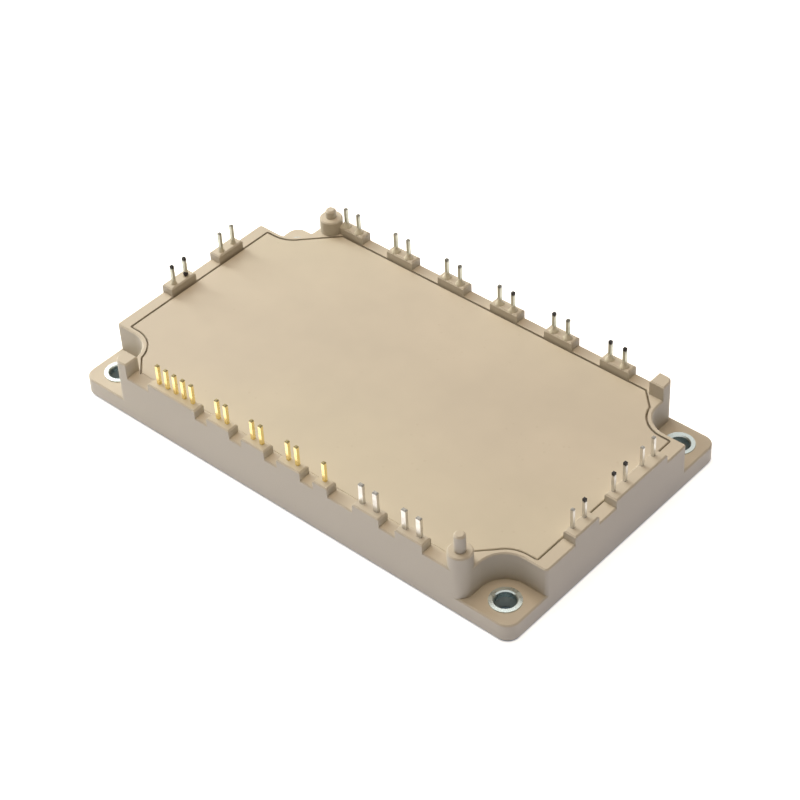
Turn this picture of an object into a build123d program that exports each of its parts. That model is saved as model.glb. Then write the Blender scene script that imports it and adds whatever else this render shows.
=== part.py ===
from build123d import *
import math
import os

os.makedirs("parts", exist_ok=True)

# All sizes are in millimetres. The origin is the middle of the underside, +Z is up,
# +X runs along the long side, and the row of gold pins stands at the front, at -Y.

# Grid of the circuit board that the pins stand on
grid = 3.81
step = grid / 3
pitch = 2 * step
pair_step = 4 * grid

# Housing
far_start = 18.45           # from the left end to the first pin of the far row
far_finish = 23.54          # from the last pin of the far row to the right end
far_pairs = 6
length = far_start + (far_pairs - 1) * pair_step + grid + far_finish
width = 69.6
rim_bottom = 0.3            # the frame stays just clear of the heat sink
ear_top = 4.4
wall_top = 11.7
block_top = 13.8
post_top = 15.4             # also the top of the two bosses
pin_top = 19.0
half_length = length / 2
half_width = width / 2
ear_corner = 3.0
edge_break = 0.3            # small chamfer on moulded edges
root = 0.8                  # how far walls, blocks and posts reach down into what carries them

# Open corner bays over the ears
bay_length = 11.8
bay_width = 11.6
bay_x = half_length - bay_length
bay_y = half_width - bay_width
bay_radius = 6.1
bay_strip = 1.0             # wall left between a bay and the lid
bay_end_radius = 0.8        # where a bay meets the short walls
post_corner = 1.8           # where a bay meets the long walls beside a square post

# Lid and the pocket that takes it
lid_thickness = 1.6
lid_gap = 0.4
lid_ledge = 1.5             # ledge under the edge of the lid
pocket_end_radius = 0.6
corner_cut = 7.7            # slanting ends of the pocket beside the square posts
wall_x = 3.1
wall_y = 2.85
pocket_x = half_length - wall_x
pocket_y = half_width - wall_y
lid_bottom = wall_top - lid_thickness
ledge_inset = lid_gap + lid_ledge

# Square posts, and round bosses with their locating pins, at the ends of the long walls
post_size = 3.7
boss_radius = 2.7
boss_wall = 0.1             # frame left between a boss and the pocket
boss_x = bay_x - boss_radius
boss_y = half_width - boss_radius
locator_radius = 1.25
locator_break = 0.4
tall_locator = 19.9
short_locator = 17.5
post_places = [(-1, -1), (1, 1)]
boss_places = [(1, -1, tall_locator), (-1, 1, short_locator)]
post_line = bay_x + half_width - corner_cut
boss_line = boss_x + boss_y - (boss_radius + boss_wall) * math.sqrt(2)

# Mounting holes
hole_inset = 5.8            # from the ends and sides to the middle of each hole
hole_x = half_length - hole_inset
hole_y = half_width - hole_inset
bushing_bore = 2.3
bushing_wall = 0.8
bushing_rim = 3.45
bushing_rim_height = 0.25
bushing_fit = 0.02
plate_hole = bushing_bore + 0.15

# Base plate
plate_thickness = 3.0
plate_rim = 1.5             # frame left round the plate
plate_fit = 0.15
plate_corner = 2.0

# Pin shelf and pin channels inside the frame
shelf_top = 5.0
shelf_x = half_length - 8.0
shelf_y = half_width - 7.75
foot_setback = 0.7          # from the end of a foot to the edge of the shelf
channel_fit = 0.03

# Terminal pins: their sections and how far inside the housing each row stands
control_width = 0.76
power_width = 1.15
strip = 0.75
slim_width = 0.7
tip_break = 0.18
front_row = 1.8 - half_width
far_row = half_width - 1.65
left_row = 1.9 - half_length
right_row = half_length - 2.3

# Substrates, from the base plate upwards
base_solder = 0.1
copper = 0.3
ceramic = 0.4
chip = 0.25
substrate_inner = 2.0       # from the middle of the module to each substrate
substrate_outer = shelf_x - 5.0
substrate_x = substrate_outer - substrate_inner
substrate_y = 2 * (bay_y - 4.1)
substrate_middle = (substrate_outer + substrate_inner) / 2
copper_inset = 1.0          # ceramic left bare round the copper
track_gap = 1.0
bus_width = 4.0
solder_top = plate_thickness + base_solder
ceramic_bottom = solder_top + copper
ceramic_top = ceramic_bottom + ceramic
track_top = ceramic_top + copper
chip_top = track_top + chip
gel_top = 7.4

# Bond wires
wire = 0.4
wire_rise = 1.3
wire_foot = 0.9
bond_room = 0.1             # from a wire's foot to the edge of its track


def box(x0, x1, y0, y1, z0, z1):
    """A box between two corners."""
    middle = ((x0 + x1) / 2, (y0 + y1) / 2, (z0 + z1) / 2)
    return Pos(*middle) * Box(x1 - x0, y1 - y0, z1 - z0)


def prism(outline, z0, z1):
    """An outline in the XY plane raised from z0 to z1."""
    return Pos(0, 0, z0) * extrude(outline, z1 - z0)


def broken(solid, size):
    """A solid with all its upper edges broken."""
    return chamfer(solid.edges().group_by(Axis.Z)[-1], size)


def corners_at(outline, x, y):
    """Corner points of an outline whose distances from the middle are x and y."""
    found = []
    for point in outline.vertices():
        if abs(abs(point.X) - x) < 0.01 and abs(abs(point.Y) - y) < 0.01:
            found.append(point)
    return found


def notched(half_x, half_y, notch_x, notch_y, inner_radius):
    """A rectangle with its four corners taken out, each with a rounded inner corner."""
    outline = Rectangle(2 * half_x, 2 * half_y)
    for side_x in (-1, 1):
        for side_y in (-1, 1):
            place = Pos(side_x * (notch_x + half_x) / 2, side_y * (notch_y + half_y) / 2)
            outline -= place * Rectangle(half_x - notch_x, half_y - notch_y)
    return fillet(corners_at(outline, notch_x, notch_y), inner_radius)


def pocket_outline():
    """The pocket in the walls that takes the lid, seen from above."""
    notch_x = bay_x - bay_strip
    notch_y = bay_y - bay_strip
    outline = notched(pocket_x, pocket_y, notch_x, notch_y, bay_radius + bay_strip)
    outline = fillet(corners_at(outline, pocket_x, notch_y), pocket_end_radius)
    reach = half_width
    for side_x in (-1, 1):
        for side_y in (-1, 1):
            line = post_line if (side_x, side_y) in post_places else boss_line
            corner = Polyline(
                (side_x * (line - reach), side_y * reach),
                (side_x * (bay_x + 1), side_y * reach),
                (side_x * (bay_x + 1), side_y * (line - bay_x - 1)),
                close=True,
            )
            outline -= make_face(corner)
    return outline


def inset(distance):
    """The outline of the pocket, moved inwards by a distance."""
    if distance == 0:
        return pocket
    return offset(pocket, -distance, kind=Kind.INTERSECTION)


def run(start, step, count):
    """Evenly spaced positions."""
    return [start + step * number for number in range(count)]


pocket = pocket_outline()

# Groups of pins along each side, in steps of the grid from the middle or from their first pin
gold_groups = [(-29, -27, -25, -23, -21), (-15, -13), (-7, -5), (1, 3), (9,)]
power_groups = [(17, 20), (26, 29)]
gold_pins = [step * number for group in gold_groups for number in group]
power_pins = [step * number for group in power_groups for number in group]
left_first = -6.86
left_groups = [(0, 1), (4, 5)]
right_first = -12.2
right_groups = [(0, 1), (3.5, 4.5, 6, 7)]
far_pins = []
for number in range(far_pairs):
    far_pins += run(far_start - half_length + pair_step * number, grid, 2)
left_pins = [left_first + grid * number for group in left_groups for number in group]
right_pins = [right_first + grid * number for group in right_groups for number in group]

# Each pin: name, place, way in towards the middle, width across, thickness
pins = []
for number, x in enumerate(gold_pins):
    pins.append((f"pin_front_{number + 1:02d}", x, front_row, (0, 1), control_width, strip))
for number, x in enumerate(power_pins):
    name = f"pin_front_{len(gold_pins) + number + 1:02d}"
    pins.append((name, x, front_row, (0, 1), power_width, strip))
for number, x in enumerate(far_pins):
    pins.append((f"pin_far_{number + 1:02d}", x, far_row, (0, -1), slim_width, slim_width))
for number, y in enumerate(left_pins):
    pins.append((f"pin_left_{number + 1:02d}", left_row, y, (1, 0), slim_width, slim_width))
for number, y in enumerate(right_pins):
    pins.append((f"pin_right_{number + 1:02d}", right_row, y, (-1, 0), slim_width, slim_width))


def foot_end(x, y, way):
    """Where the foot of a pin ends over the shelf."""
    if way[0]:
        return (-way[0] * (shelf_x + foot_setback), y)
    return (x, -way[1] * (shelf_y + foot_setback))


def pin_blank(x, y, way, across, thick, clearance, top):
    """An upright strip with a foot turned in over the shelf, with room round it if asked."""
    size_x = across if way[1] else thick
    size_y = thick if way[1] else across
    room_x = size_x / 2 + clearance
    room_y = size_y / 2 + clearance
    end_x, end_y = foot_end(x, y, way)
    upright = box(x - room_x, x + room_x, y - room_y, y + room_y, shelf_top, top)
    if way[1]:
        near, far = sorted((y, end_y))
        foot = box(x - room_x, x + room_x, near, far, shelf_top, shelf_top + thick + clearance)
    else:
        near, far = sorted((x, end_x))
        foot = box(near, far, y - room_y, y + room_y, shelf_top, shelf_top + thick + clearance)
    return upright, foot


def make_pin(x, y, way, across, thick):
    """A pin with a broken tip."""
    upright, foot = pin_blank(x, y, way, across, thick, 0, pin_top)
    return broken(upright, tip_break) + foot


# Raised blocks round the pins, each from its first to its last edge along the wall
block_reach = 2.0           # from an end pin to the end of its block
side_reach = 1.9
short_reach = 1.3           # the near ends of the blocks of the power pins
front_blocks = [(step * group[0] - block_reach, step * group[-1] + block_reach) for group in gold_groups]
front_blocks += [(step * group[0] - short_reach, step * group[-1] + block_reach) for group in power_groups]
far_blocks = [(x - side_reach, x + grid + side_reach) for x in far_pins[::2]]


def side_blocks(first, groups):
    """Blocks along a short wall."""
    ends = [(first + grid * group[0], first + grid * group[-1]) for group in groups]
    return [(low - side_reach, high + side_reach) for low, high in ends]


def raised(x0, x1, y0, y1):
    """A block on top of the wall with its upper edges broken."""
    return broken(box(x0, x1, y0, y1, wall_top - root, block_top), edge_break)


def wall_outline():
    """The walls seen from above, without the hollow inside."""
    outline = notched(half_length, half_width, bay_x, bay_y, bay_radius)
    outline = fillet(corners_at(outline, half_length, bay_y), bay_end_radius)
    for sign, radius in ((1, post_corner), (-1, boss_radius)):
        corners = [p for p in corners_at(outline, bay_x, half_width) if p.X * p.Y * sign > 0]
        outline = fillet(corners, radius)
    return outline


def make_frame():
    """The moulded frame: ears, walls, blocks, posts, pocket, shelf and pin channels."""
    frame = broken(prism(RectangleRounded(length, width, ear_corner), rim_bottom, ear_top), edge_break)
    frame += broken(prism(wall_outline(), ear_top - root, wall_top), edge_break)
    for x0, x1 in front_blocks:
        frame += raised(x0, x1, -half_width, -pocket_y)
    for x0, x1 in far_blocks:
        frame += raised(x0, x1, pocket_y, half_width)
    for y0, y1 in side_blocks(left_first, left_groups):
        frame += raised(-half_length, -pocket_x, y0, y1)
    for y0, y1 in side_blocks(right_first, right_groups):
        frame += raised(pocket_x, half_length, y0, y1)

    tall = prism(wall_outline(), wall_top - root, post_top)
    tall -= prism(pocket, 0, post_top)
    for side_x, side_y in post_places:
        x = side_x * (bay_x - post_size / 2)
        y = side_y * (half_width - post_size / 2)
        post = Pos(x, y, post_top) * Box(post_size, post_size, post_top)
        frame += broken(tall & post, edge_break)
    for side_x, side_y, _ in boss_places:
        boss = prism(Circle(boss_radius), wall_top - root, post_top)
        frame += Pos(side_x * boss_x, side_y * boss_y, 0) * broken(boss, edge_break)

    plate_room = RectangleRounded(length - 2 * plate_rim, width - 2 * plate_rim, plate_corner)
    hollow = inset(ledge_inset)
    frame -= prism(plate_room, 0, plate_thickness)
    frame -= prism(hollow & Rectangle(2 * shelf_x, 2 * shelf_y), plate_thickness - 1, shelf_top + 1)
    frame -= prism(hollow, shelf_top, lid_bottom + 1)
    frame -= prism(pocket, lid_bottom, post_top + 1)
    hole = Cylinder(bushing_bore + bushing_wall + bushing_fit, 2 * ear_top)
    for x, y in hole_places:
        frame -= Pos(x, y, ear_top) * hole
    for _, x, y, way, across, thick in pins:
        upright, foot = pin_blank(x, y, way, across, thick, channel_fit, block_top + 1)
        frame -= upright
        frame -= foot

    for side_x, side_y, top in boss_places:
        rod = broken(prism(Circle(locator_radius), post_top - root, top), locator_break)
        frame += Pos(side_x * boss_x, side_y * boss_y, 0) * rod
    return frame


hole_places = []
for side_x in (-1, 1):
    for side_y in (-1, 1):
        hole_places.append((side_x * hole_x, side_y * hole_y))


def make_lid():
    """The lid, with its upper edge broken."""
    return broken(prism(inset(lid_gap), lid_bottom, wall_top), edge_break / 2)


def make_plate():
    """The base plate with its four holes."""
    size_x = length - 2 * (plate_rim + plate_fit)
    size_y = width - 2 * (plate_rim + plate_fit)
    plate = prism(RectangleRounded(size_x, size_y, plate_corner), 0, plate_thickness)
    for x, y in hole_places:
        plate -= Pos(x, y, 0) * Cylinder(plate_hole, 3 * plate_thickness)
    return plate


def make_bushing(x, y):
    """A sleeve that stands on the base plate, with a rim over the ear."""
    outer = bushing_bore + bushing_wall
    top = ear_top + bushing_rim_height
    sleeve = prism(Circle(outer), plate_thickness, top)
    sleeve += prism(Circle(bushing_rim), ear_top, top)
    sleeve -= prism(Circle(bushing_bore), 0, top + 1)
    inner_edge = sleeve.edges().group_by(Axis.Z)[-1].sort_by(SortBy.LENGTH)[0]
    sleeve = chamfer(inner_edge, bushing_rim_height)
    return Pos(x, y, 0) * sleeve


# Tracks on one substrate, as boxes round the middle of the substrate
track_half_x = substrate_x / 2 - copper_inset
track_half_y = substrate_y / 2 - copper_inset
island_x = (2 * track_half_x - 2 * track_gap) / 3
island_top = track_half_y - bus_width - track_gap
island_columns = run(-(island_x + track_gap), island_x + track_gap, 3)
island_middle_y = (island_top + track_gap / 2) / 2
pad_size = 3.0
pad_gap = 1.2
pads_reach = 2 * pad_size + pad_gap + track_gap


def track_boxes(side):
    """Tracks as x0, x1, y0, y1 in the part's frame. The left substrate has thermistor pads."""
    middle = side * substrate_middle
    tracks = []
    for column in island_columns:
        x0 = middle + column - island_x / 2
        x1 = middle + column + island_x / 2
        tracks.append((x0, x1, track_gap / 2, island_top))
        tracks.append((x0, x1, -island_top, -track_gap / 2))
    bus_inner = track_half_y - bus_width
    tracks.append((middle - track_half_x, middle + track_half_x, bus_inner, track_half_y))
    front_end = middle + track_half_x
    if side < 0:
        first = front_end - pad_size
        second = first - pad_gap - pad_size
        tracks.append((first, front_end, -track_half_y, -bus_inner))
        tracks.append((second, second + pad_size, -track_half_y, -bus_inner))
        front_end -= pads_reach
    tracks.append((middle - track_half_x, front_end, -track_half_y, -bus_inner))
    return tracks


def layer(middle, size_x, size_y, z0, z1):
    """One full layer of a substrate."""
    return box(middle - size_x / 2, middle + size_x / 2, -size_y / 2, size_y / 2, z0, z1)


# Chips: the switches and their diodes on the right substrate, the rectifier on the left
igbt_size = 0.5 * island_x
diode_x = 0.3 * island_x
diode_y = 0.4 * island_x
rectifier_size = 0.54 * island_x
chip_gap = 0.9
island_pad = 0.4            # from the edge of a track to its first chip
thermistor_x = 3.6
thermistor_y = 1.8
thermistor_height = 0.9
thermistor_shift = 0.6      # from the middle of the pads towards the chips


def chip_places():
    """Middle of every chip: switches, diodes, rectifier chips."""
    switches = []
    diodes = []
    rectifiers = []
    for row in (-1, 1):
        for column in island_columns:
            left = substrate_middle + column - island_x / 2 + island_pad
            switches.append((left + igbt_size / 2, row * island_middle_y))
            diode_middle = left + igbt_size + chip_gap + diode_x / 2
            diodes.append((diode_middle, row * island_middle_y))
            rectifiers.append((-substrate_middle + column, row * island_middle_y))
    return switches, diodes, rectifiers


def chips(places, size_x, size_y):
    """Flat chips soldered on the tracks."""
    solids = []
    for x, y in places:
        hx = size_x / 2
        hy = size_y / 2
        solids.append(box(x - hx, x + hx, y - hy, y + hy, track_top, chip_top))
    return solids


def bond(start, end, z0, z1):
    """A wire bowed from one flat bonded foot to another, in the upright plane through both."""
    span = math.dist(start, end)
    top = max(z0, z1) + wire_rise
    outline = [
        (0, z0),
        (wire_foot, z0),
        (span / 2, top),
        (span - wire_foot, z1),
        (span, z1),
        (span / 2, top + wire),
    ]
    along = Vector(end[0] - start[0], end[1] - start[1], 0).normalized()
    across = along.cross(Vector(0, 0, 1))
    plane = Plane(origin=(start[0], start[1], 0), x_dir=along, z_dir=across)
    return extrude(plane * make_face(Polyline(*outline, close=True)), wire / 2, both=True)


wire_edge = 0.9             # from the middle of a chip out to the start of its wire
landing_edge = 0.9          # from the edge of a track in to the end of a wire
pin_wire_back = 1.1         # from the end of a foot to the start of its wire
bus_middle = track_half_y - bus_width / 2


def bond_wires():
    """Wires from chips to the bus tracks and from the feet of the pins to the tracks."""
    switches, diodes, rectifiers = chip_places()
    wires = []
    for x, y in switches + diodes + rectifiers:
        way = math.copysign(1, y)
        start = (x, y + way * wire_edge)
        wires.append(bond(start, (x, way * bus_middle), chip_top, track_top))
    nearest_x = substrate_middle - track_half_x + wire / 2 + bond_room
    farthest_x = substrate_middle + track_half_x - wire_foot - bond_room
    for _, x, y, way, across, thick in pins:
        end_x, end_y = foot_end(x, y, way)
        start = (end_x - way[0] * pin_wire_back, end_y - way[1] * pin_wire_back)
        if way[1]:
            reach = min(max(abs(x), nearest_x), farthest_x)
            landing = (math.copysign(reach, x), -way[1] * (track_half_y - landing_edge))
        else:
            landing = (-way[0] * farthest_x, y)
        wires.append(bond(start, landing, shelf_top + thick, track_top))
    return wires


def thermistor():
    """The thermistor, bridging its two pads."""
    middle = -substrate_middle + track_half_x - pad_size - pad_gap / 2
    y = thermistor_shift - bus_middle
    hx = thermistor_x / 2
    hy = thermistor_y / 2
    return box(middle - hx, middle + hx, y - hy, y + hy, track_top, track_top + thermistor_height)


nodes = {}
nodes["housing_frame"] = make_frame()
nodes["lid"] = make_lid()
nodes["base_plate"] = make_plate()
corner_names = ("left_front", "left_far", "right_front", "right_far")
for name, (x, y) in zip(corner_names, hole_places):
    nodes[f"bushing_{name}"] = make_bushing(x, y)
for name, x, y, way, across, thick in pins:
    nodes[name] = make_pin(x, y, way, across, thick)
copper_x = substrate_x - 2 * copper_inset
copper_y = substrate_y - 2 * copper_inset
for side, name in ((-1, "left"), (1, "right")):
    middle = side * substrate_middle
    nodes[f"base_solder_{name}"] = layer(middle, copper_x, copper_y, plate_thickness, solder_top)
    nodes[f"copper_lower_{name}"] = layer(middle, copper_x, copper_y, solder_top, ceramic_bottom)
    nodes[f"ceramic_{name}"] = layer(middle, substrate_x, substrate_y, ceramic_bottom, ceramic_top)
    tracks = [box(*track, ceramic_top, track_top) for track in track_boxes(side)]
    nodes[f"copper_tracks_{name}"] = Compound(children=tracks)
switches, diodes, rectifiers = chip_places()
nodes["igbt_chips"] = Compound(children=chips(switches, igbt_size, igbt_size))
nodes["diode_chips"] = Compound(children=chips(diodes, diode_x, diode_y))
nodes["rectifier_chips"] = Compound(children=chips(rectifiers, rectifier_size, rectifier_size))
nodes["thermistor"] = thermistor()
nodes["bond_wires"] = Compound(children=bond_wires())

# The gel fills the hollow over the base plate round everything that lies in it
hollow = inset(ledge_inset)
gel = prism(hollow & Rectangle(2 * shelf_x, 2 * shelf_y), plate_thickness, gel_top)
gel += prism(hollow, shelf_top, gel_top)
for name, shape in nodes.items():
    inside = name not in ("housing_frame", "lid", "base_plate") and not name.startswith("bushing")
    if inside:
        for solid in shape.solids():
            gel -= solid
nodes["silicone_gel"] = gel

for name, shape in nodes.items():
    export_step(shape, f"parts/{name}.step")
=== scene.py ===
import math
import bmesh
import bpy
from mathutils import Matrix, Vector
from mathutils import noise as space_noise


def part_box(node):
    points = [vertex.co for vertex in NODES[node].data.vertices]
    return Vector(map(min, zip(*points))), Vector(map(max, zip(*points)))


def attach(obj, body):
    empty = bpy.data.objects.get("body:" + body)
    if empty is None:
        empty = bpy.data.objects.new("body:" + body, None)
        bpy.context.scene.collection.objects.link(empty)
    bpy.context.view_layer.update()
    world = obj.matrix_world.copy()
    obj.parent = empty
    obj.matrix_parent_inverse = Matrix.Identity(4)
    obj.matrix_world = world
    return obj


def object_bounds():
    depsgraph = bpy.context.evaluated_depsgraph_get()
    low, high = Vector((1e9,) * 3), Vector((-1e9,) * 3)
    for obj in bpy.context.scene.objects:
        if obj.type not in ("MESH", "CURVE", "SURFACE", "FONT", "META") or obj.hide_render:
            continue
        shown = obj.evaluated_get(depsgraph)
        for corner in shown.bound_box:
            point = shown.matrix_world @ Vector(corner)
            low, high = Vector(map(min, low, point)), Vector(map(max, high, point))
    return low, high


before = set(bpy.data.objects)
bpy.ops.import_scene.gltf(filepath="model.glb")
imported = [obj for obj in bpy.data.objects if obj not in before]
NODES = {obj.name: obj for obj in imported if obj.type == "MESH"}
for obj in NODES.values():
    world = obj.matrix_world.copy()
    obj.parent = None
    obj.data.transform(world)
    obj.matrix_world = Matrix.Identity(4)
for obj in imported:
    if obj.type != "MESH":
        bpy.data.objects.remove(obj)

bl_info = {
    "name": "Power module",
    "version": (1, 0, 0),
    "blender": (4, 5, 0),
    "location": "3D View > Sidebar > Power module",
    "description": "Finishes a power module: moulded housing, plated pins, bushings and base plate",
    "category": "Object",
}

# The nodes, and what is read from them. The first twelve pins of the front row are gold-plated.
FRONT_PINS = sorted(name for name in NODES if name.startswith("pin_front"))
GOLD_PINS = FRONT_PINS[:12]
TINNED_PINS = sorted(name for name in NODES if name.startswith("pin_") and name not in GOLD_PINS)
# The far row and the left side get a darker copy of the tin: painted shade for their darker reflections
FAR_AND_LEFT_PINS = [name for name in TINNED_PINS if name.startswith(("pin_far", "pin_left"))]
BUSHINGS = sorted(name for name in NODES if name.startswith("bushing"))
CAD_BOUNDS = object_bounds()
PIN_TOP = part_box("pin_front_01")[1].z

# Pins whose tips are black or grey with old flux and solder
BLACK_TIPS = ("pin_right_02", "pin_right_03", "pin_right_04")
# Black tips on the darker copy of the tin, whose colour is painted shade
SHADED_TIN_BLACK_TIPS = (
    "pin_left_01", "pin_left_02", "pin_far_08", "pin_far_09", "pin_far_11", "pin_far_12",
)
GREY_TIPS = ("pin_far_05", "pin_far_06", "pin_far_07", "pin_far_10")

# Cut and stained tips: strength of the stain, its reach down the pin and its colour
GOLD_CUT = (0.8, 0.0004, (0.46, 0.43, 0.30))
TIN_CUT = (0.7, 0.0004, (0.50, 0.50, 0.48))
GREY_STAIN = (0.7, 0.0007, (0.25, 0.25, 0.24))
BLACK_STAIN = (1.0, 0.0009, (0.12, 0.11, 0.11))

# Clouds and specks in moulded plastic: repeats a metre, the share of the finer clouds in the
# shade, the two tints of the clouds and the tint of the specks
CLOUDS = 45.0
BROAD_CLOUDS = 14.0
FINER_SHARE = 0.6
WARM_CLOUD = (1.0, 0.975, 0.96, 1)
GREEN_CLOUD = (0.97, 0.985, 0.90, 1)
SPECKS = 420.0
SPECK_PATCHES = 60.0
SPECK_TINT = (0.75, 0.70, 0.62, 1)

# Grain, marks and patches, in repeats a metre, and how the marks are drawn out along Z
PLASTIC_GRAIN = 2600.0
GEL_GRAIN = 300.0
METAL_MARKS = 9000.0
METAL_PATCHES = 500.0
PLATE_PATCHES = 60.0
STAIN_EDGE = 1400.0
DRAWN_OUT = (1.0, 1.0, 0.08)

# How far a stain's lower edge runs up and down, and how much the clouds, the patches and a stain
# change the roughness
STAIN_RAGGED = 0.0006
CLOUD_ROUGHNESS = 0.2
PATCH_ROUGHNESS = 0.12
STAIN_ROUGHNESS = 0.35

# Depth and strength of the relief
PLASTIC_RELIEF = (0.00003, 0.6)
METAL_RELIEF = (0.000008, 0.4)
GEL_RELIEF = (0.00002, 0.3)

# The lid is this much less rough than the frame
LID_GLOSS = 0.04

# Gap round the lid, how far the bead of sealant in its front part lies below the lid's top, and
# how near to the lid's front face a point counts as on it
LID_GAP = 0.0004
BEAD_SINK = 0.00003
ON_FACE = 0.00001

# Top of the raised blocks, and about half the thickness of a tinned pin
BLOCK_TOP = 0.0138
PIN_HALF = 0.00036

# The skirt round a tinned pin's foot: radius, sides, and share of its reach with height over the block
SKIRT_RADIUS = {"far": 0.00110, "left": 0.00075}
SKIRT_SIDES = 32
SKIRT_PROFILE = (
    (1.0, -0.00008),
    (1.0, 0.0),
    (0.55, 0.00035),
    (0.25, 0.00075),
    (0.08, 0.00115),
    (0.0, 0.0015),
)

# The lump of burnt flux: radius, its place beside the pin and over the block in radii, its
# stretch along X, Y and Z, and the depth and closeness of its bumps
FLUX_RADIUS = 0.00055
FLUX_ASIDE = 0.4
FLUX_RAISED = 1.1
FLUX_STRETCH = (0.9, 0.95, 1.15)
FLUX_BUMPS = 0.35
FLUX_BUMP_SCALE = 2200

# The floor: half its width, its height, its clouds in repeats a metre and their greys
FLOOR_REACH = 3.0
FLOOR_LEVEL = -0.0002
FLOOR_CLOUDS = 4.0
FLOOR_GREYS = (0.93, 0.95)

# Tint of the light that the floor throws up
FLOOR_TINT = (0.548, 0.668, 1.0, 1.0)

# Painted shade under the module: the dark floor colour there, seen through the bushings, the strip
# inside the outline in which it begins, and the radius of the outline's corners
UNDER_MODULE_SHADE = (0.22, 0.34, 0.46, 1.0)
UNDER_EDGE = 0.0005
EAR_CORNER = 0.003

# Each lamp: name, place, size, power and tint
LAMPS = (
    ("left_low", (-0.57, 0.0, 0.29), 0.25, 2.72, (1.0, 0.995, 0.92)),
    ("top", (0.0, 0.0, 0.70), 0.50, 3.07, (1.0, 0.819, 0.631)),
    ("left_back", (-0.38, 0.20, 0.50), 0.25, 0.72, (0.917, 0.977, 1.0)),
    ("left_front", (-0.45, -0.40, 0.35), 0.30, 0.33, (1.0, 0.946, 0.87)),
)

# The camera: its place, its own X, Y and Z, the width of its sensor and how near and far it sees
CAMERA_PLACE = (0.247113, -0.259871, 0.323397)
CAMERA_RIGHT = (0.752068, 0.657783, -0.041418)
CAMERA_UP = (-0.413127, 0.519442, 0.748001)
CAMERA_BACK = (0.513537, -0.545437, 0.662404)
SENSOR_WIDTH = 36.0
NEAREST = 0.01
FARTHEST = 10.0

WHITE = (1, 1, 1, 1)


# Helpers for shader nodes

def new_tree(owner):
    """The empty node tree of a material or a world."""
    owner.use_nodes = True
    tree = owner.node_tree
    tree.nodes.clear()
    return tree


def fill(tree, node, inputs):
    """Sets the inputs of a node, or links them."""
    for key, value in inputs.items():
        if isinstance(value, bpy.types.NodeSocket):
            tree.links.new(value, node.inputs[key])
        else:
            node.inputs[key].default_value = value


def add(tree, kind, inputs=None, **settings):
    """A node with its settings and its input values or links."""
    node = tree.nodes.new(kind)
    for name, value in settings.items():
        setattr(node, name, value)
    fill(tree, node, inputs or {})
    return node


def sums(tree, operation, first, second):
    """The output of a Math node."""
    return add(tree, "ShaderNodeMath", {0: first, 1: second}, operation=operation).outputs[0]


def ramp(tree, value, low, high, to_low=0.0, to_high=1.0):
    """A value spread smoothly from one range to another."""
    node = add(
        tree, "ShaderNodeMapRange",
        {"Value": value, "From Min": low, "From Max": high, "To Min": to_low, "To Max": to_high},
        interpolation_type="SMOOTHSTEP",
    )
    return node.outputs["Result"]


def mix(tree, factor, first, second, blend="MIX"):
    """The colour output of a Mix node."""
    node = add(tree, "ShaderNodeMix", data_type="RGBA", blend_type=blend)
    fill(tree, node, {0: factor, 6: first, 7: second})
    return node.outputs[2]


def grey(tree, level):
    """The grey of a level."""
    return add(tree, "ShaderNodeCombineColor", {0: level, 1: level, 2: level}).outputs[0]


def spot(tree):
    """The place of a point in its object."""
    return add(tree, "ShaderNodeTexCoord").outputs["Object"]


def noise(tree, place, scale, detail=2.0, roughness=0.5):
    """The value of a noise texture."""
    inputs = {"Vector": place, "Scale": scale, "Detail": detail, "Roughness": roughness}
    return add(tree, "ShaderNodeTexNoise", inputs).outputs["Fac"]


def seen_rays(tree, path):
    """1 for the rays by which a thing is seen, straight or in a shiny or clear surface."""
    indirect = sums(tree, "MAXIMUM", path.outputs["Is Glossy Ray"], path.outputs["Is Transmission Ray"])
    return sums(tree, "MAXIMUM", path.outputs["Is Camera Ray"], indirect)


def colour(rgb):
    """A colour given as on screen, as the shader needs it."""
    linear = [c / 12.92 if c <= 0.04045 else ((c + 0.055) / 1.055) ** 2.4 for c in rgb]
    return (*linear, 1.0)


def new_group(name, inputs, outputs):
    """An empty shader node group with named sockets."""
    group = bpy.data.node_groups.new(name, "ShaderNodeTree")
    for label, kind, value in inputs:
        socket = group.interface.new_socket(label, in_out="INPUT", socket_type=kind)
        socket.default_value = value
    for label, kind in outputs:
        group.interface.new_socket(label, in_out="OUTPUT", socket_type=kind)
    start = group.nodes.new("NodeGroupInput")
    end = group.nodes.new("NodeGroupOutput")
    return group, start, end


def place_group(tree, maker, inputs):
    """A shared group placed in a material with its own values. Its first use makes the group."""
    group = bpy.data.node_groups.get(maker.__name__) or maker()
    return add(tree, "ShaderNodeGroup", inputs, node_tree=group)


# Shared effects, each named like the function that makes it

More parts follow.
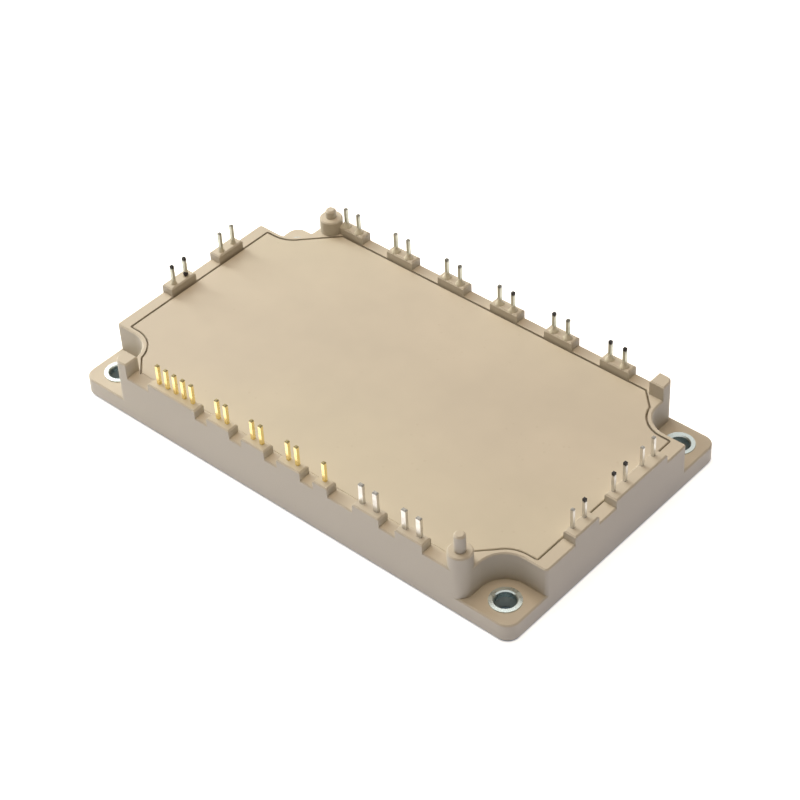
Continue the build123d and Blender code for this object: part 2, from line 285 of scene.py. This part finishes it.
def moulded_grain():
    """Fine moulded grain with broad cloudy patches and small specks."""
    group, start, end = new_group(
        "moulded_grain",
        [
            ("Colour", "NodeSocketColor", (0.6, 0.5, 0.4, 1)),
            ("Cloudiness", "NodeSocketFloat", 0.1),
            ("Specks", "NodeSocketFloat", 0.1),
            ("Grain Size", "NodeSocketFloat", PLASTIC_GRAIN),
        ],
        [("Colour", "NodeSocketColor"), ("Height", "NodeSocketFloat"), ("Roughness", "NodeSocketFloat")],
    )
    where = spot(group)
    cloudiness = start.outputs["Cloudiness"]

    clouds = noise(group, where, CLOUDS, 3.0, 0.6)
    broad = noise(group, where, BROAD_CLOUDS, 1.0, 0.4)
    finer = sums(group, "MULTIPLY", clouds, FINER_SHARE)
    both = sums(group, "ADD", finer, sums(group, "MULTIPLY", broad, 1 - FINER_SHARE))
    shade = sums(group, "MULTIPLY", sums(group, "SUBTRACT", both, 0.5), cloudiness)
    gain = grey(group, sums(group, "ADD", shade, 1.0))
    tinted = mix(group, 1.0, start.outputs["Colour"], gain, "MULTIPLY")
    hue = mix(group, ramp(group, broad, 0.35, 0.65), WARM_CLOUD, GREEN_CLOUD)
    tinted = mix(group, cloudiness, tinted, mix(group, 1.0, tinted, hue, "MULTIPLY"))

    cells = add(group, "ShaderNodeTexVoronoi", {"Vector": where, "Scale": SPECKS}, feature="F1")
    dots = ramp(group, cells.outputs["Distance"], 0.16, 0.08)
    patchy = ramp(group, noise(group, where, SPECK_PATCHES), 0.52, 0.62)
    specks = sums(group, "MULTIPLY", sums(group, "MULTIPLY", dots, patchy), start.outputs["Specks"])
    darker = mix(group, 1.0, tinted, SPECK_TINT, "MULTIPLY")

    grain = noise(group, where, start.outputs["Grain Size"], 2.0, 0.6)
    uneven = sums(group, "MULTIPLY", sums(group, "SUBTRACT", clouds, 0.5), CLOUD_ROUGHNESS)
    fill(group, end, {
        "Colour": mix(group, specks, tinted, darker),
        "Height": grain,
        "Roughness": uneven,
    })
    return group


def tip_stain():
    """How far a pin is stained near its tip, with an uneven lower edge."""
    group, start, end = new_group(
        "tip_stain",
        [
            ("Reach", "NodeSocketFloat", 0.001),
            ("Top", "NodeSocketFloat", PIN_TOP),
            ("Strength", "NodeSocketFloat", 1.0),
        ],
        [("Mask", "NodeSocketFloat")],
    )
    where = spot(group)
    height = add(group, "ShaderNodeSeparateXYZ", {0: where}).outputs["Z"]
    uneven = sums(group, "SUBTRACT", noise(group, where, STAIN_EDGE), 0.5)
    ragged = sums(group, "MULTIPLY", uneven, STAIN_RAGGED)
    below = sums(group, "SUBTRACT", start.outputs["Top"], sums(group, "ADD", height, ragged))
    share = sums(group, "DIVIDE", below, start.outputs["Reach"])
    mask = sums(group, "MULTIPLY", ramp(group, share, 1.25, 0.75), start.outputs["Strength"])
    fill(group, end, {"Mask": mask})
    return group


def drawn_metal():
    """Fine marks along Z and a slight change of colour over plated metal."""
    group, start, end = new_group(
        "drawn_metal",
        [
            ("Colour", "NodeSocketColor", (0.7, 0.7, 0.7, 1)),
            ("Shade", "NodeSocketColor", (0.4, 0.4, 0.4, 1)),
            ("Patches", "NodeSocketFloat", 0.3),
            ("Patch Size", "NodeSocketFloat", METAL_PATCHES),
        ],
        [("Colour", "NodeSocketColor"), ("Height", "NodeSocketFloat"), ("Mask", "NodeSocketFloat")],
    )
    where = spot(group)
    patches = ramp(group, noise(group, where, start.outputs["Patch Size"], 3.0, 0.6), 0.42, 0.68)
    amount = sums(group, "MULTIPLY", patches, start.outputs["Patches"])
    drawn = add(group, "ShaderNodeMapping", {"Vector": where, "Scale": DRAWN_OUT}).outputs[0]
    fill(group, end, {
        "Colour": mix(group, amount, start.outputs["Colour"], start.outputs["Shade"]),
        "Height": noise(group, drawn, METAL_MARKS),
        "Mask": patches,
    })
    return group


# Materials

def finished(name, **sockets):
    """A new material with its shader and output, and plain values set on the shader."""
    material = bpy.data.materials.new(name)
    tree = new_tree(material)
    shader = add(tree, "ShaderNodeBsdfPrincipled")
    add(tree, "ShaderNodeOutputMaterial", {"Surface": shader.outputs["BSDF"]})
    for key, value in sockets.items():
        shader.inputs[key.replace("_", " ")].default_value = value
    return material, tree, shader


def bump(tree, height, relief):
    """The normals of small relief on a material."""
    distance, strength = relief
    inputs = {"Height": height, "Distance": distance, "Strength": strength}
    return add(tree, "ShaderNodeBump", inputs).outputs["Normal"]


def moulded_plastic(name, rgb, cloudiness, specks, roughness):
    """Satin moulded plastic."""
    material, tree, shader = finished(name, IOR=1.5, Specular_IOR_Level=0.26)
    grain = place_group(tree, moulded_grain, {
        "Colour": colour(rgb),
        "Cloudiness": cloudiness,
        "Specks": specks,
        "Grain Size": PLASTIC_GRAIN,
    })
    fill(tree, shader, {
        "Base Color": grain.outputs["Colour"],
        "Roughness": sums(tree, "ADD", grain.outputs["Roughness"], roughness),
        "Normal": bump(tree, grain.outputs["Height"], PLASTIC_RELIEF),
    })
    return material


def plated_metal(name, rgb, shade, roughness, patches=0.3, patch_size=METAL_PATCHES, tip=None):
    """Plated metal, with a stained tip if asked."""
    material, tree, shader = finished(name, Metallic=1.0)
    metal = place_group(tree, drawn_metal, {
        "Colour": colour(rgb),
        "Shade": colour(shade),
        "Patches": patches,
        "Patch Size": patch_size,
    })
    base = metal.outputs["Colour"]
    duller = sums(tree, "MULTIPLY", metal.outputs["Mask"], PATCH_ROUGHNESS)
    rough = sums(tree, "ADD", duller, roughness)
    if tip:
        strength, reach, stain = tip
        inputs = {"Reach": reach, "Top": PIN_TOP, "Strength": strength}
        mask = place_group(tree, tip_stain, inputs).outputs["Mask"]
        base = mix(tree, mask, base, colour(stain))
        rough = sums(tree, "ADD", rough, sums(tree, "MULTIPLY", mask, STAIN_ROUGHNESS))
        fill(tree, shader, {"Metallic": sums(tree, "SUBTRACT", 1.0, mask)})
    fill(tree, shader, {
        "Base Color": base,
        "Roughness": rough,
        "Normal": bump(tree, metal.outputs["Height"], METAL_RELIEF),
    })
    return material


def clear_gel(name):
    """Clear soft gel with a slight cloud in it."""
    material, tree, shader = finished(name, Transmission_Weight=1.0, IOR=1.41, Metallic=0.0)
    cloudy = place_group(tree, moulded_grain, {
        "Colour": colour((0.95, 0.95, 0.92)),
        "Cloudiness": 0.05,
        "Specks": 0.0,
        "Grain Size": GEL_GRAIN,
    })
    fill(tree, shader, {
        "Base Color": cloudy.outputs["Colour"],
        "Roughness": sums(tree, "ADD", cloudy.outputs["Roughness"], 0.12),
        "Normal": bump(tree, cloudy.outputs["Height"], GEL_RELIEF),
    })
    return material


def dress(names, material):
    """Gives nodes their material."""
    for name in names:
        mesh = NODES[name].data
        mesh.materials.clear()
        mesh.materials.append(material)


# Pieces

def object_of(name, form):
    """An object made of a form, which is used up."""
    mesh = bpy.data.meshes.new(name)
    form.to_mesh(mesh)
    form.free()
    piece = bpy.data.objects.new(name, mesh)
    bpy.context.scene.collection.objects.link(piece)
    return piece


def pin_skirt(name, pin):
    """The small skirt of plastic where a pin leaves its block, resting on the block."""
    low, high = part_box(pin)
    side = pin.split("_")[1]
    if side == "far":
        middle = Vector(((low.x + high.x) / 2, high.y - PIN_HALF, BLOCK_TOP))
    else:
        middle = Vector((low.x + PIN_HALF, (low.y + high.y) / 2, BLOCK_TOP))
    turns = [step * math.tau / SKIRT_SIDES for step in range(SKIRT_SIDES)]
    form = bmesh.new()
    rings = []
    for share, height in SKIRT_PROFILE:
        reach = PIN_HALF + share * (SKIRT_RADIUS[side] - PIN_HALF)
        ring = [(reach * math.cos(turn), reach * math.sin(turn), height) for turn in turns]
        rings.append([form.verts.new(point) for point in ring])
    for lower, upper in zip(rings, rings[1:]):
        for step in range(SKIRT_SIDES):
            after = (step + 1) % SKIRT_SIDES
            form.faces.new((lower[step], lower[after], upper[after], upper[step]))
    form.faces.new(list(reversed(rings[0])))
    form.faces.new(rings[-1])
    skirt = object_of(name, form)
    skirt.data.shade_smooth()
    skirt.location = middle
    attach(skirt, "root")
    return skirt


def gap_bead(name):
    """The bead of sealant that closes the gap between the lid and the front wall."""
    low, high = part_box("lid")
    along = [corner.co.x for corner in NODES["lid"].data.vertices if corner.co.y < low.y + ON_FACE]
    start = Vector((min(along), low.y - LID_GAP, low.z))
    end = Vector((max(along), low.y, high.z - BEAD_SINK))
    form = bmesh.new()
    bmesh.ops.create_cube(form, size=1.0)
    for corner in form.verts:
        ends = zip(start, end, corner.co)
        corner.co = Vector([(first + last) / 2 + side * (last - first) for first, last, side in ends])
    bead = object_of(name, form)
    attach(bead, "root")
    return bead


def flux_lump(name, pin):
    """A lump of burnt flux round the foot of a pin, resting on its block."""
    low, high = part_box(pin)
    half = (high.y - low.y) / 2
    aside = FLUX_ASIDE * FLUX_RADIUS
    middle = Vector((low.x + half + aside, low.y + half - aside, BLOCK_TOP + FLUX_RAISED * FLUX_RADIUS))
    form = bmesh.new()
    bmesh.ops.create_icosphere(form, subdivisions=4, radius=FLUX_RADIUS)
    for corner in form.verts:
        swell = 1 + FLUX_BUMPS * space_noise.noise(corner.co * FLUX_BUMP_SCALE)
        stretched = Vector([part * stretch for part, stretch in zip(corner.co, FLUX_STRETCH)])
        corner.co = stretched * swell
    lump = object_of(name, form)
    lump.data.shade_smooth()
    lump.location = middle
    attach(lump, "root")
    return lump


# Settings

class PM_HousingSettings(bpy.types.PropertyGroup):
    """Colours of the moulded housing."""
    plastic: bpy.props.FloatVectorProperty(
        name="Plastic", description="Colour of the moulded frame", subtype="COLOR", size=3,
        min=0.0, max=1.0, default=(0.803, 0.770, 0.708))
    lid: bpy.props.FloatVectorProperty(
        name="Lid", description="Colour of the lid", subtype="COLOR", size=3,
        min=0.0, max=1.0, default=(0.803, 0.770, 0.708))
    roughness: bpy.props.FloatProperty(
        name="Roughness", description="How matt the plastic is", default=0.48, min=0.0, max=1.0)


class PM_MetalSettings(bpy.types.PropertyGroup):
    """Colours of the plated metal."""
    gold: bpy.props.FloatVectorProperty(
        name="Gold", description="Colour of the gold-plated pins", subtype="COLOR", size=3,
        min=0.0, max=1.0, default=(1.0, 0.93, 0.67))
    tin: bpy.props.FloatVectorProperty(
        name="Tin", description="Colour of the tinned pins", subtype="COLOR", size=3,
        min=0.0, max=1.0, default=(0.86, 0.855, 0.84))
    # A darker copy of the tin: painted shade for the darker reflections of these pins
    dull_tin: bpy.props.FloatVectorProperty(
        name="Shaded tin", description="Colour of the pins of the far row and the left side",
        subtype="COLOR", size=3, min=0.0, max=1.0, default=(0.73, 0.735, 0.69))
    zinc: bpy.props.FloatVectorProperty(
        name="Zinc", description="Colour of the bushings", subtype="COLOR", size=3,
        min=0.0, max=1.0, default=(0.77, 0.80, 0.78))
    nickel: bpy.props.FloatVectorProperty(
        name="Nickel", description="Colour of the base plate", subtype="COLOR", size=3,
        min=0.0, max=1.0, default=(0.82, 0.80, 0.76))


class PM_StageSettings(bpy.types.PropertyGroup):
    """Light and camera."""
    lens: bpy.props.FloatProperty(
        name="Lens", description="Focal length of the camera", default=99.681, min=10.0, unit="CAMERA")
    level: bpy.props.FloatProperty(
        name="Level", description="Power of all the lamps together", default=1.0, min=0.0)
    floor_glow: bpy.props.FloatProperty(
        name="Floor", description="How far the floor is lifted to white in the picture",
        default=0.7, min=0.0)
    floor_bounce: bpy.props.FloatProperty(
        name="Floor light", description="Strength of the cool light that the floor throws up",
        default=0.49, min=0.0)


# Operators for the module

class PM_OT_housing(bpy.types.Operator):
    """Finishes the moulded frame and the lid, and fills the front part of the gap between them"""
    bl_idname = "power_module.housing"
    bl_label = "Housing"

    def execute(self, context):
        values = context.scene.power_module_housing
        frame_plastic = moulded_plastic(
            "moulded_frame", values.plastic, cloudiness=0.06, specks=0.15, roughness=values.roughness)
        lid_plastic = moulded_plastic(
            "moulded_lid", values.lid, cloudiness=0.35, specks=0.15, roughness=values.roughness - LID_GLOSS)
        dress(["housing_frame"], frame_plastic)
        dress(["lid"], lid_plastic)
        gap_bead("front_gap_bead").data.materials.append(lid_plastic)
        return {"FINISHED"}


class PM_OT_pins(bpy.types.Operator):
    """Finishes the pins, and adds the skirts and the lump of flux at their feet"""
    bl_idname = "power_module.pins"
    bl_label = "Pins"

    def execute(self, context):
        values = context.scene.power_module_metal
        gold = {"rgb": values.gold, "shade": (0.88, 0.74, 0.42), "roughness": 0.20}
        tin = {"rgb": values.tin, "shade": (0.62, 0.61, 0.59), "roughness": 0.28}
        # The third finish is the same tin made darker: painted shade for the darker reflections of the far
        # and left pins
        shaded_finish = {"rgb": values.dull_tin, "shade": (0.55, 0.56, 0.50), "roughness": 0.36}
        dress(GOLD_PINS, plated_metal("gold_plate", **gold, tip=GOLD_CUT))
        dress(TINNED_PINS, plated_metal("tin_plate", **tin, tip=TIN_CUT))
        dress(FAR_AND_LEFT_PINS, plated_metal("shaded_tin_plate", **shaded_finish, tip=TIN_CUT))
        dress(BLACK_TIPS, plated_metal("tin_plate_black_tip", **tin, tip=BLACK_STAIN))
        dress(SHADED_TIN_BLACK_TIPS, plated_metal("shaded_tin_black_tip", **shaded_finish, tip=BLACK_STAIN))
        dress(GREY_TIPS, plated_metal("shaded_tin_grey_tip", **shaded_finish, tip=GREY_STAIN))

        housing = context.scene.power_module_housing
        # The skirts get a paler copy of the frame's plastic: a painted highlight
        lit_skirt_plastic = moulded_plastic(
            "moulded_skirt_lit", (0.865, 0.84, 0.76), cloudiness=0.06, specks=0.15, roughness=housing.roughness)
        for name in FAR_AND_LEFT_PINS:
            pin_skirt(f"skirt_{name}", name).data.materials.append(lit_skirt_plastic)
        burnt_flux = moulded_plastic(
            "burnt_flux", (0.16, 0.13, 0.12), cloudiness=0.1, specks=0.0, roughness=0.35)
        flux_lump("flux_lump", "pin_left_02").data.materials.append(burnt_flux)
        return {"FINISHED"}


class PM_OT_metalwork(bpy.types.Operator):
    """Finishes the bushings and the base plate"""
    bl_idname = "power_module.metalwork"
    bl_label = "Bushings and base plate"

    def execute(self, context):
        values = context.scene.power_module_metal
        zinc = plated_metal("zinc_plate", values.zinc, shade=(0.60, 0.62, 0.60), roughness=0.26)
        nickel = plated_metal(
            "nickel_plate", values.nickel, shade=(0.70, 0.67, 0.62), roughness=0.34,
            patches=0.15, patch_size=PLATE_PATCHES)
        dress(BUSHINGS, zinc)
        dress(["base_plate"], nickel)
        return {"FINISHED"}


class PM_OT_inside(bpy.types.Operator):
    """Finishes what lies inside the housing"""
    bl_idname = "power_module.inside"
    bl_label = "Inside"

    def execute(self, context):
        copper = plated_metal("bare_copper", (0.88, 0.62, 0.50), shade=(0.70, 0.45, 0.36), roughness=0.35)
        solder = plated_metal("solder", (0.70, 0.71, 0.72), shade=(0.55, 0.56, 0.57), roughness=0.45)
        ceramic = moulded_plastic(
            "substrate_ceramic", (0.94, 0.94, 0.93), cloudiness=0.04, specks=0.1, roughness=0.55)
        for side in ("left", "right"):
            dress([f"copper_lower_{side}", f"copper_tracks_{side}"], copper)
            dress([f"base_solder_{side}"], solder)
            dress([f"ceramic_{side}"], ceramic)

        chip = plated_metal("chip_metal", (0.80, 0.79, 0.77), shade=(0.62, 0.61, 0.60), roughness=0.30)
        sensor = moulded_plastic(
            "thermistor_body", (0.25, 0.24, 0.23), cloudiness=0.05, specks=0.0, roughness=0.3)
        wire = plated_metal("drawn_aluminium", (0.88, 0.88, 0.89), shade=(0.75, 0.75, 0.76), roughness=0.25)
        dress(["igbt_chips", "diode_chips", "rectifier_chips"], chip)
        dress(["thermistor"], sensor)
        dress(["bond_wires"], wire)
        dress(["silicone_gel"], clear_gel("silicone_gel"))
        return {"FINISHED"}


# The stage

def edge_distance(tree, where):
    """How far outside the outline of the housing a point of the floor lies, less than 0 inside."""
    corner = CAD_BOUNDS[1] - Vector((EAR_CORNER, EAR_CORNER, 0))
    # The 1.0 keeps the height out of the distance
    reach = Vector((corner.x, corner.y, 1.0))
    away = add(tree, "ShaderNodeVectorMath", {0: where}, operation="ABSOLUTE").outputs[0]
    past = add(tree, "ShaderNodeVectorMath", {0: away, 1: reach}, operation="SUBTRACT").outputs[0]
    beyond = add(tree, "ShaderNodeVectorMath", {0: past, 1: (0, 0, 0)}, operation="MAXIMUM").outputs[0]
    length = add(tree, "ShaderNodeVectorMath", {0: beyond}, operation="LENGTH").outputs["Value"]
    return sums(tree, "SUBTRACT", length, EAR_CORNER)


def lay_floor(scene, values):
    """A plain floor that is white in the picture, keeps the shadows, throws up cool light, and is painted a
    dark shade under the module.
    """
    mesh = bpy.data.meshes.new("floor")
    reach = FLOOR_REACH
    corners = [(-reach, -reach, 0), (reach, -reach, 0), (reach, reach, 0), (-reach, reach, 0)]
    mesh.from_pydata(corners, [], [(0, 1, 2, 3)])
    floor = bpy.data.objects.new("floor", mesh)
    floor.location.z = FLOOR_LEVEL
    scene.collection.objects.link(floor)

    material, tree, shader = finished("white_floor", Roughness=0.9)
    where = spot(tree)
    paper = grey(tree, ramp(tree, noise(tree, where, FLOOR_CLOUDS), 0.3, 0.7, *FLOOR_GREYS))
    outside = ramp(tree, edge_distance(tree, where), -UNDER_EDGE, 0.0)
    path = add(tree, "ShaderNodeLightPath")
    diffuse = path.outputs["Is Diffuse Ray"]
    shown = sums(tree, "MULTIPLY", seen_rays(tree, path), values.floor_glow)
    thrown = sums(tree, "MULTIPLY", diffuse, values.floor_bounce)
    glow = sums(tree, "ADD", shown, thrown)
    fill(tree, shader, {
        # Inside the outline the floor is painted a dark shade
        "Base Color": mix(tree, outside, UNDER_MODULE_SHADE, paper),
        "Emission Strength": sums(tree, "MULTIPLY", glow, outside),
        "Emission Color": mix(tree, diffuse, WHITE, FLOOR_TINT),
    })
    mesh.materials.append(material)


def set_world(scene):
    """A world that is white where it is seen or mirrored, and throws no other light."""
    world = bpy.data.worlds.new("studio")
    scene.world = world
    tree = new_tree(world)
    strength = seen_rays(tree, add(tree, "ShaderNodeLightPath"))
    light = add(tree, "ShaderNodeBackground", {"Color": WHITE, "Strength": strength})
    add(tree, "ShaderNodeOutputWorld", {"Surface": light.outputs[0]})


def area_light(scene, name, place, size, power, tint):
    """A soft square lamp that looks at the origin."""
    data = bpy.data.lights.new(name, "AREA")
    data.shape = "SQUARE"
    data.size = size
    data.energy = power
    data.color = tint
    lamp = bpy.data.objects.new(name, data)
    scene.collection.objects.link(lamp)
    lamp.location = place
    lamp.rotation_euler = (Vector((0, 0, 0)) - Vector(place)).to_track_quat("-Z", "Y").to_euler()


def set_camera(scene, lens):
    """The camera, where the photograph was taken from."""
    data = bpy.data.cameras.new("camera")
    data.lens = lens
    data.sensor_width = SENSOR_WIDTH
    data.clip_start = NEAREST
    data.clip_end = FARTHEST
    camera = bpy.data.objects.new("camera", data)
    scene.collection.objects.link(camera)
    turn = Matrix((CAMERA_RIGHT, CAMERA_UP, CAMERA_BACK)).transposed().to_4x4()
    camera.matrix_world = Matrix.Translation(CAMERA_PLACE) @ turn
    scene.camera = camera


class PM_OT_stage(bpy.types.Operator):
    """Sets up the floor, the lamps, the world and the camera"""
    bl_idname = "power_module.stage"
    bl_label = "Stage"

    def execute(self, context):
        scene = context.scene
        values = scene.power_module_stage
        scene.view_settings.view_transform = "Standard"
        lay_floor(scene, values)
        set_world(scene)
        for name, place, size, power, tint in LAMPS:
            area_light(scene, name, place, size, power * values.level, tint)
        set_camera(scene, values.lens)
        return {"FINISHED"}


# The panel and the start

SETTINGS = {
    "power_module_housing": PM_HousingSettings,
    "power_module_metal": PM_MetalSettings,
    "power_module_stage": PM_StageSettings,
}
OPERATORS = (PM_OT_stage, PM_OT_housing, PM_OT_pins, PM_OT_metalwork, PM_OT_inside)


class PM_PT_panel(bpy.types.Panel):
    """Lists the pieces of the power module"""
    bl_idname = "PM_PT_panel"
    bl_label = "Power module"
    bl_space_type = "VIEW_3D"
    bl_region_type = "UI"
    bl_category = "Power module"

    def draw(self, context):
        for group, settings in SETTINGS.items():
            for name in settings.__annotations__:
                self.layout.prop(getattr(context.scene, group), name)
        for operator in OPERATORS:
            self.layout.operator(operator.bl_idname)


CLASSES = (*SETTINGS.values(), *OPERATORS, PM_PT_panel)


def register():
    for item in CLASSES:
        bpy.utils.register_class(item)
    for name, group in SETTINGS.items():
        setattr(bpy.types.Scene, name, bpy.props.PointerProperty(type=group))


def unregister():
    for name in SETTINGS:
        delattr(bpy.types.Scene, name)
    for item in reversed(CLASSES):
        bpy.utils.unregister_class(item)


def main():
    register()
    bpy.ops.power_module.stage()
    bpy.ops.power_module.housing()
    bpy.ops.power_module.pins()
    bpy.ops.power_module.metalwork()
    bpy.ops.power_module.inside()


if __name__ == "__main__":
    main()
